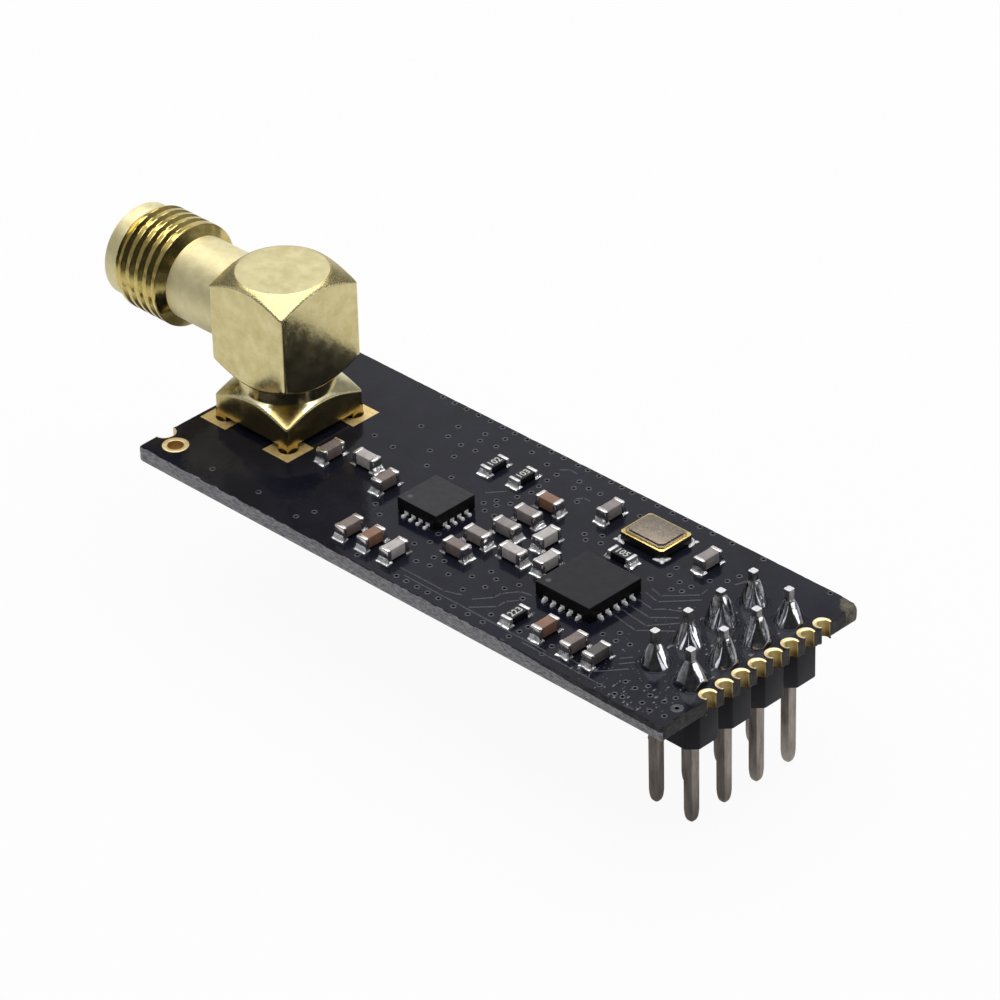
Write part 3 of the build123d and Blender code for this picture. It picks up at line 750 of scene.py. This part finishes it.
put("resistor_end_caps", caps, [white_end, glaze], ["resistor_ends"])
put("resistor_solder", skirts, [reflowed], ["resistor_joints"], sharp=60)
print_ink = finish("white print", (196, 196, 192), (226, 226, 222), (0.6, 0.7), patch=0.1)
put("value_codes", codes, [print_ink])

# LEADLESS CHIPS
# Radio and amplifier are dies in flat square mouldings, sawn from a strip, so their sides are straight
# and their copper leads end flush with them. A laser mark shows pin 1. Solder beads at every lead.

moulding = finish("chip moulding", (42, 41, 45), (53, 52, 56), (0.5, 0.65), patch=0.5, grain=0.06,
                  relief=0.004, shine=0.15)
paler_moulding = finish("paler chip moulding", (56, 55, 58), (68, 66, 70), (0.5, 0.65), patch=0.5, grain=0.06,
                        relief=0.004, shine=0.15)
# Painted shade: the sawn sides are the same moulding, darker than the top.
shaded_sawn_side = finish("sawn moulding, darker as painted shade", (18, 18, 19), (28, 28, 29), (0.5, 0.65), patch=0.2, shine=0.15)
# Painted highlight: the solder at the leads and under the crystal's corners is a near white, barely metallic
# paint in place of its glints.
glint_white_solder = finish("wetted lead ends, painted white as highlight", (247, 247, 248), (254, 254, 254), (0.20, 0.32), metal=0.1,
                     patch=0.15, grain=0.15, relief=0.010)
laser_mark = finish("laser mark", (76, 76, 74), (92, 92, 90), (0.6, 0.7), patch=0.1)
mark_radius, mark_inset = 0.16, 0.5
# Beads of each chip: distance from its side, length, width and rise.
radio_beads = [(0.13, 0.18, 0.115, 0.23)]
amplifier_beads = [(0.09, 0.08, 0.085, 0.16), (0.245, 0.11, 0.125, 0.16)]
marks = bmesh.new()
for node, count, pitch, beads, top_side in (("radio_chip", 5, 0.62, radio_beads, moulding),
                                            ("amplifier_chip", 4, 0.55, amplifier_beads, paler_moulding)):
    work = rounded_copy(node, 0.02, steps=1)
    for face in work.faces:
        face.material_index = 1 if abs(face.normal.z) < 0.5 else 0
    put(node + "_moulding", work, [top_side, shaded_sawn_side], [node])
    dress(node + "_leads", glint_white_solder)
    low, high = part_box(node)
    middle, half = (low + high) / 2 / MM, (high.x - low.x) / 2 / MM
    x, y = middle.x - half + mark_inset, middle.y - half + mark_inset
    mark = lifted(arc(x, y, mark_radius, 0, math.tau, 24), high.z / MM + 0.002)
    marks.faces.new([marks.verts.new(Vector(point) * MM) for point in mark])
    work = bmesh.new()
    for face in range(4):
        way = Vector((math.cos(quarter * face), math.sin(quarter * face), 0))
        side = Vector((-way.y, way.x, 0))
        for k in range(count):
            for out, length, width, rise in beads:
                luck = wave(face * 3.7, k * 1.9, out * 9)
                if node == "radio_chip":
                    width += 0.02 * luck
                aside = (k - (count - 1) / 2) * pitch
                centre = Vector((middle.x, middle.y, 0)) + way * (half + out) + side * aside
                rows = []
                for level in (0.0, 0.25, 0.5, 0.72, 0.88, 0.98):
                    flat = math.sqrt(1 - level * level)
                    up = Vector((0, 0, board_top + rise * level * (1 + 0.3 * luck)))
                    rows.append([centre + way * flat * length * math.cos(a)
                                 + side * flat * width * math.sin(a) * (1 + 0.2 * luck) + up
                                 for a in turns(14)])
                work.faces.new(sheet_of(work, rows)[-1])
    put(node + "_solder", work, [glint_white_solder], [node + "_joints"], sharp=80)
put("pin_one_marks", marks, [laser_mark])

# CRYSTAL
# Quartz blank sealed in a black ceramic tray. A gold-plated seam frame is brazed to the tray and a thin
# nickel lid is rolled down and welded on it. Four pads under the corners hold it to the board.

tray = finish("black ceramic", (20, 20, 21), (32, 32, 33), (0.4, 0.55), patch=0.4, shine=0.3)
seam_gold = finish("seam gold", (222, 188, 104), (248, 226, 156), (0.20, 0.34), metal=0.9, patch=0.2,
                   grain=0.10, relief=0.008)
lid_nickel = finish("lid nickel", (118, 107, 95), (158, 147, 133), (0.30, 0.48), metal=0.9, patch=0.10,
                    grain=0.11, relief=0.035)
for name, node, materials, radius, slot in (
        ("crystal_tray", "crystal_base", [tray, seam_gold], 0.04, "crystal_ceramic"),
        ("crystal_seam", "crystal_seam_frame", [seam_gold, lid_nickel], 0.045, "gold_plate")):
    work = rounded_copy(node, radius, steps=3)
    for face in work.faces:
        face.material_index = 1 if face.normal.z > 0.9 else 0
    put(name, work, materials, [node])
put("crystal_cover", rounded_copy("crystal_lid", 0.04, steps=3), [lid_nickel], ["crystal_lid"])
joint_box = corners("crystal_joints")
base_box = corners("crystal_base")
work = bmesh.new()
# Solder shows at each corner as a short tip outward and longer arms along both sides.
for east, north in ((0, 0), (0, 1), (1, 0), (1, 1)):
    x, y = base_box[east][0], base_box[north][1]
    outward = math.atan2(2 * north - 1, 2 * east - 1)
    rows = []
    for share, rise in ((1.0, 0.0), (0.94, 0.035), (0.78, 0.05), (0.5, 0.07), (0.25, 0.12), (0.1, 0.20)):
        row = []
        for a in turns(60):
            tip = 0.20 * max(0.0, math.cos(a - outward)) ** 6
            arms = [0.42 * max(0.0, math.cos(a - outward + turn)) ** 8 for turn in (-2.0, 2.0)]
            reach = (0.15 + max(tip, *arms)) * share
            spot = (x + reach * math.cos(a), y + reach * math.sin(a), board_top + rise)
            row.append(held_in(spot, *joint_box))
        rows.append(row)
    work.faces.new(sheet_of(work, rows)[-1])
put("crystal_pad_solder", work, [glint_white_solder], ["crystal_joints"], sharp=60)

# ANTENNA JACK
# The block is cut from square brass bar: turned to a cone at both ends and to a waist above its foot,
# then gold plated. The threaded barrel is turned by itself and pressed into the block's side.

brass = finish("bright gold on brass", (206, 191, 134), (230, 217, 164), (0.12, 0.20), metal=1.0, patch=0.9,
               grain=0.30, relief=0.004)
# Partly painted light: a satin finish on the level top, paler than the block's gold.
satin_lit_brass = finish("satin gold on brass, paler as painted light", (222, 210, 158), (236, 225, 174), (0.28, 0.38), metal=1.0,
                     patch=0.7, grain=0.20, relief=0.005)
# Painted shade: a darker gold for the undersides, the foot's sides, the legs and the front of the foot cone.
shaded_brass = finish("darker gold on brass for painted shade", (186, 166, 108), (212, 194, 136), (0.17, 0.26), metal=1.0,
                    patch=0.8, grain=0.30, relief=0.003)
# Partly painted light: a satin gold for the barrel's plain parts, paler and less metallic than the other
# golds.
ring_lit_brass = finish("satin gold on the barrel, paler as painted light", (234, 220, 166), (249, 239, 192), (0.40, 0.52), metal=0.6,
                    patch=0.6, grain=0.20, relief=0.006)
# Painted light: a paler gold on the foot cone, whose corners show bright reflections.
lit_foot_brass = finish("paler gold on the foot for painted light", (228, 216, 166), (248, 241, 204), (0.13, 0.22), metal=0.95,
                    patch=0.6, grain=0.25, relief=0.006)
# Painted highlight: a pale, half matt gold on the block's rounded crests, so they read as bright lines.
edge_highlight_brass = finish("painted highlight on the edges", (226, 212, 156), (250, 244, 208), (0.30, 0.50), metal=0.65,
                    patch=0.1, grain=0.10, relief=0.020)
# Partly painted shade: a coarser grain on the sloped turned faces, and darker than the block's gold.
turned_shaded_brass = finish("gold on a coarse turned face, darker as painted shade", (184, 168, 114), (218, 204, 150), (0.22, 0.34),
                      metal=1.0, patch=0.15, grain=0.09, relief=0.008)
thread_brass = finish("gold on the thread", (196, 174, 98), (226, 206, 132), (0.11, 0.19), metal=1.0,
                      patch=0.5, grain=0.20, relief=0.004)
(block_left, _, _), (block_right, _, _) = corners("jack_block")
bar_half = (block_right - block_left) / 2
bar_reach = bar_half * math.sqrt(2)
standoff, foot_top = 0.30, 1.45
waist_low, waist_high, waist_radius = 2.30, 3.05, 2.75
shoulder_low, shoulder_high = 3.95, 8.50
block_top, top_radius, edge_soft, crest_soft = 9.45, 2.70, 0.08, 0.07
dielectric_radius, hollow_depth = 2.05, 0.8
squareness = 34                 # power of the rounded square that the bar's section is
turned = [(standoff, bar_reach), (foot_top, bar_reach), (waist_low, waist_radius), (waist_high, waist_radius),
          (shoulder_low, bar_reach), (shoulder_high, bar_reach), (block_top, top_radius)]


def turned_radius(z):
    """Radius of the turning at a height above the board."""
    for (z0, r0), (z1, r1) in zip(turned, turned[1:]):
        if z <= z1:
            return r0 + (r1 - r0) * (z - z0) / (z1 - z0)
    return turned[-1][1]


def soft_least(a, b, soft):
    """The smaller of two radii, with the crest between them rounded."""
    gap = max(soft - abs(a - b), 0) / soft
    return min(a, b) - gap * gap * soft / 4


straight_run = block_top - standoff - 2 * edge_soft
steps = round(straight_run / 0.055)
heights = [standoff, standoff + 0.03]
heights += [standoff + edge_soft + straight_run * k / steps for k in range(steps + 1)]
heights += [block_top - 0.045, block_top - 0.02, block_top - 0.006, block_top]
angles = [quarter * side + quarter / 2 * math.sin(math.pi * (k / 64 - 0.5))
          for side in range(4) for k in range(64)]
work = bmesh.new()
rows = []
for z in heights:
    row = []
    for a in angles:
        square = abs(math.cos(a)) ** squareness + abs(math.sin(a)) ** squareness
        flat = bar_half * square ** (-1 / squareness)
        r = soft_least(turned_radius(z), flat, crest_soft)
        if z < standoff + edge_soft:
            r -= edge_soft - math.sqrt(max(0, edge_soft ** 2 - (standoff + edge_soft - z) ** 2))
        if z > block_top - edge_soft:
            r -= 0.05 * ((z - block_top + edge_soft) / edge_soft) ** 2
        row.append((jack_x + r * math.cos(a), jack_y + r * math.sin(a), board_top + z))
    rows.append(row)
for share in (0.97, 0.7, 0.35, 0.05):
    rows.append([(jack_x + (x - jack_x) * share, jack_y + (y - jack_y) * share, z) for x, y, z in row])
grid = sheet_of(work, rows)
work.faces.new(grid[-1])
bottom = [(jack_x + dielectric_radius * math.cos(a), jack_y + dielectric_radius * math.sin(a))
          for a in angles]
hollow = sheet_of(work, [lifted(bottom, board_top + z) for z in (standoff, standoff + hollow_depth)])
for k in range(len(angles)):
    work.faces.new((grid[0][k - 1], grid[0][k], hollow[0][k], hollow[0][k - 1]))
leg_end = -2.2
for x, y in leg_places:
    stations = [(leg_end, 0.30), (leg_end + 0.10, 0.40), (standoff + 0.3, 0.40)]
    rows = [[(x + px, y + py, board_top + z) for px, py in pin_outline(half, 0.05)] for z, half in stations]
    work.faces.new(sheet_of(work, rows)[0])
jack_finishes = [brass, turned_shaded_brass, satin_lit_brass, shaded_brass, lit_foot_brass, edge_highlight_brass]
steep, level_slope, crest_width, front_corner = 0.3, 0.97, 0.045, 0.30


def jack_finish(face):
    """The finish of one face of the block, by its slope, its height and its side."""
    middle = face.calc_center_median() / MM
    slope, rise = abs(face.normal.z), middle.z - board_top
    a = math.atan2(middle.y - jack_y, middle.x - jack_x)
    flat = bar_half / max(abs(math.cos(a)), abs(math.sin(a)))
    foot_cone = foot_top < rise < waist_low
    # Painted highlight on the rounded crests.
    if abs(turned_radius(rise) - flat) < crest_width and (rise > shoulder_high or foot_cone):
        return edge_highlight_brass
    # Painted light and shade on the foot cone: paler gold, and the darker gold at its front corner under the
    # block.
    if slope > steep and foot_cone:
        return shaded_brass if abs(a + quarter / 2) < front_corner else lit_foot_brass
    # Painted shade on the undersides.
    if face.normal.z < -steep:
        return shaded_brass
    # Painted light: level tops get the paler satin gold.
    if slope > level_slope:
        return satin_lit_brass
    # Partly painted shade on the sloped turned faces.
    if slope > steep:
        return turned_shaded_brass
    # Painted shade: upright faces below the waist get the darker gold.
    return shaded_brass if rise < waist_low else brass


work.normal_update()
for face in work.faces:
    face.material_index = jack_finishes.index(jack_finish(face))
put("jack_body", work, jack_finishes, ["jack_block"], sharp=45)

# The barrel: plain neck, a run of fine thread with flat crests that starts and ends shallow, and a plain
# lead ring. Its mouth is bored for the plug, down to the white dielectric and the slotted contact.

axis_height = board_top + 6.15
neck_radius, crest_radius, lead_radius, mouth_radius = 2.50, 3.10, 2.80, 2.32
thread_start, full_start, thread_end, lead_start = 7.05, 7.42, 10.45, 10.70
barrel_end, floor_depth, lead_chamfer = 12.0, 10.10, 0.15
pitch, depth, groove_half, first_groove = 0.706, 0.22, 0.21, 7.94
groove_end = 11.01
front = math.atan2(0.545, -0.589)              # the side the grooves were measured on


def barrel_radius(distance, angle):
    """Outside radius of the barrel at a distance from the block's axis."""
    if distance < thread_start:
        flare = max(0, 1 - (distance - bar_half + 0.05) / 0.35)
        return neck_radius + 0.10 * flare * flare
    if distance > groove_end:
        return lead_radius - max(0, distance - (barrel_end - lead_chamfer))
    body = crest_radius if distance < lead_start else lead_radius
    if distance < full_start:
        share = (distance - thread_start) / (full_start - thread_start)
        body = neck_radius + (crest_radius - neck_radius) * share
    if thread_end < distance < lead_start:
        share = (distance - thread_end) / (lead_start - thread_end)
        body = crest_radius + (lead_radius - crest_radius) * share
    turn = (distance - first_groove) / pitch + (angle - front) / math.tau
    off = abs(turn - round(turn)) * pitch
    groove = max(0.0, 1 - off / groove_half)
    fade = min(1, max(0, (distance - full_start) / 0.3))
    return body - depth * min(groove, 0.85) / 0.85 * fade


def around(distance, radius_of):
    """A ring of points round the barrel's axis."""
    ring = []
    for a in turns(144):
        r = radius_of(a)
        ring.append((jack_x - distance, jack_y + r * math.cos(a), axis_height + r * math.sin(a)))
    return ring


thread_stretch = groove_end - thread_start
fine = round(thread_stretch / 0.035)
distances = [bar_half - 0.05 + 0.03 * k for k in range(5)] + [3.2, 3.6, 4.2, 5.0, 5.8, 6.6, 7.0]
distances += [thread_start + thread_stretch * k / fine for k in range(fine + 1)]
distances += [11.2, barrel_end - 0.22, barrel_end - lead_chamfer, barrel_end - 0.07]
rows = [around(d, lambda a: barrel_radius(d, a)) for d in distances]
for d, r in ((barrel_end, lead_radius - lead_chamfer), (barrel_end, mouth_radius + 0.10),
             (barrel_end - 0.10, mouth_radius), (floor_depth + 0.03, mouth_radius),
             (floor_depth, mouth_radius - 0.03), (floor_depth, dielectric_radius),
             (floor_depth - 1.2, dielectric_radius)):
    rows.append(around(d, lambda a: r))
work = bmesh.new()
sheet_of(work, rows)
# Partly painted light: all but the thread get the paler satin gold.
for face in work.faces:
    threaded = thread_start < jack_x - face.calc_center_median().x / MM < groove_end - 0.05
    face.material_index = 0 if threaded else 1
put("threaded_barrel", work, [thread_brass, ring_lit_brass], ["jack_barrel"], sharp=38)
white = finish("white dielectric", (222, 222, 216), (236, 236, 231), (0.35, 0.5), patch=0.8)
for node in ("jack_barrel_dielectric", "jack_block_dielectric"):
    dress(node, white)
for node in ("jack_contact", "jack_signal_pin"):
    dress(node, brass)
dress("jack_joints", solder_finish)

# STUDIO
# Plain pale floor that runs up into a backdrop, large soft boxes above and beside, and a long-lens camera
# at the photograph's place. The room behind the camera is dark, which gives the metal its dark edges.

floor_level = pin_foot - 0.02
toward = Vector((0.712, -0.702, 0))
beside = Vector((-toward.y, toward.x, 0))
sweep = [(260, floor_level), (-150, floor_level), (-240, floor_level + 12), (-300, floor_level + 60),
         (-330, floor_level + 150), (-340, floor_level + 420)]
work = bmesh.new()
sheet_of(work, [[toward * d + beside * w + Vector((0, 0, z)) for d, z in sweep] for w in (-520, 520)],
         closed=False)
mesh = bpy.data.meshes.new("backdrop")
work.to_mesh(mesh)
work.free()
mesh.shade_smooth()
backdrop = bpy.data.objects.new("backdrop", mesh)
bpy.context.scene.collection.objects.link(backdrop)
paper = bpy.data.materials.new("white paper")
mesh.materials.append(paper)

# The floor is white to the eye. What metal sees of it darkens toward the camera, to the sides, and under
# the header and the jack, where the module keeps the light off.
look = Shading(paper)
look.nodes.clear()
rays = look.nodes.new("ShaderNodeLightPath").outputs
x_place, y_place, _ = look.parts(look.add("NewGeometry", "Position"))
ahead, aside = (look.reckon("ADD", look.reckon("MULTIPLY", x_place, way.x),
                            look.reckon("MULTIPLY", y_place, way.y)) for way in (toward, beside))
mirrored = look.ramped(ahead, -0.006, 0.035, 0.78, 0.10)
for shadow in (look.ramped(look.reach(x_place, y_place, (-4, -6)), 0.006, 0.012, 0.36, 1.0),
               look.ramped(look.reach(x_place, y_place, (-40, -3)), 0.005, 0.014, 0.12, 1.0),
               look.ramped(look.reckon("ABSOLUTE", aside), 0.05, 0.16, 1.0, 0.30)):
    mirrored = look.reckon("MULTIPLY", mirrored, shadow)
matt = look.add("BsdfDiffuse", "BSDF", {"Color": (0.86, 0.86, 0.86, 1)})
glow = look.add("Emission", "Emission", {"Strength": 1.0})
mirror_glow = look.add("Emission", "Emission", {"Strength": mirrored})
in_view = look.add("MixShader", "Shader", (look.reckon("MULTIPLY", rays["Is Camera Ray"], 0.94), matt, glow))
reflected = look.reckon("MAXIMUM", rays["Is Glossy Ray"], rays["Is Transmission Ray"])
look.feed(look.nodes.new("ShaderNodeOutputMaterial"),
          {"Surface": look.add("MixShader", "Shader", (reflected, in_view, mirror_glow))})

# The room that metal sees: a band of light low on the far side, a bright ceiling and a grey far wall.
world = bpy.data.worlds.new("studio")
bpy.context.scene.world = world
look = Shading(world)
glossy = look.nodes.new("ShaderNodeLightPath").outputs["Is Glossy Ray"]
way = look.add("TexCoord", "Generated")
up, front_way, overhead = (look.add("VectorMath", "Value", (way, direction), operation="DOT_PRODUCT")
                           for direction in ((0, 0, 1), (toward.x, toward.y, 0), (-0.25, 0.25, 0.935)))
low_wall = look.reckon("MULTIPLY", look.ramped(up, 0.06, 0.20, 0.45, 0.0),
                       look.ramped(front_way, -0.1, 0.6, 1.0, 0.03))
ceiling = look.ramped(overhead, 0.55, 0.85, 0.0, 0.85)
far_wall = look.ramped(front_way, -0.2, 0.6, 0.30, 0.04)
room = look.reckon("MAXIMUM", look.reckon("MAXIMUM", low_wall, ceiling), far_wall)
level = look.reckon("ADD", look.reckon("MULTIPLY", glossy, room),
                    look.reckon("MULTIPLY", look.reckon("SUBTRACT", 1.0, glossy), 0.29))
look.feed(look.nodes["Background"], {"Color": (1, 1, 1, 1), "Strength": level})


def soft_box(name, place, aim, size, power):
    """Area lamp with a diffuser, aimed at a point of the module. Places are in millimetres."""
    lamp = bpy.data.lights.new(name, "AREA")
    lamp.shape = "RECTANGLE"
    lamp.size, lamp.size_y = size[0] * MM, size[1] * MM
    lamp.energy = power
    holder = bpy.data.objects.new(name, lamp)
    bpy.context.scene.collection.objects.link(holder)
    holder.location = Vector(place) * MM
    holder.rotation_euler = (Vector(aim) - Vector(place)).to_track_quat("-Z", "Y").to_euler()


soft_box("top box", (-80, 60, 420), (-17, 0, 3), (480, 480), 1.42)
soft_box("right box", (340, 250, 70), (-10, 0, 3), (110, 120), 0.11)

camera_data = bpy.data.cameras.new("camera")
camera_data.lens = 197.39
camera_data.sensor_width = 36
camera_data.clip_end = 10
camera = bpy.data.objects.new("camera", camera_data)
bpy.context.scene.collection.objects.link(camera)
target, distance = Vector((-17.012, 0.614, 4.509)), 298.586
azimuth, elevation, roll = map(math.radians, (-44.594, 33.020, -1.577))
away = Vector((math.cos(elevation) * math.cos(azimuth), math.cos(elevation) * math.sin(azimuth),
               math.sin(elevation)))
camera.location = (target + away * distance) * MM
camera.rotation_mode = "QUATERNION"
camera.rotation_quaternion = (-away).to_track_quat("-Z", "Y") @ Matrix.Rotation(roll, 3, "Z").to_quaternion()
bpy.context.scene.camera = camera
bpy.context.scene.view_settings.view_transform = "Standard"
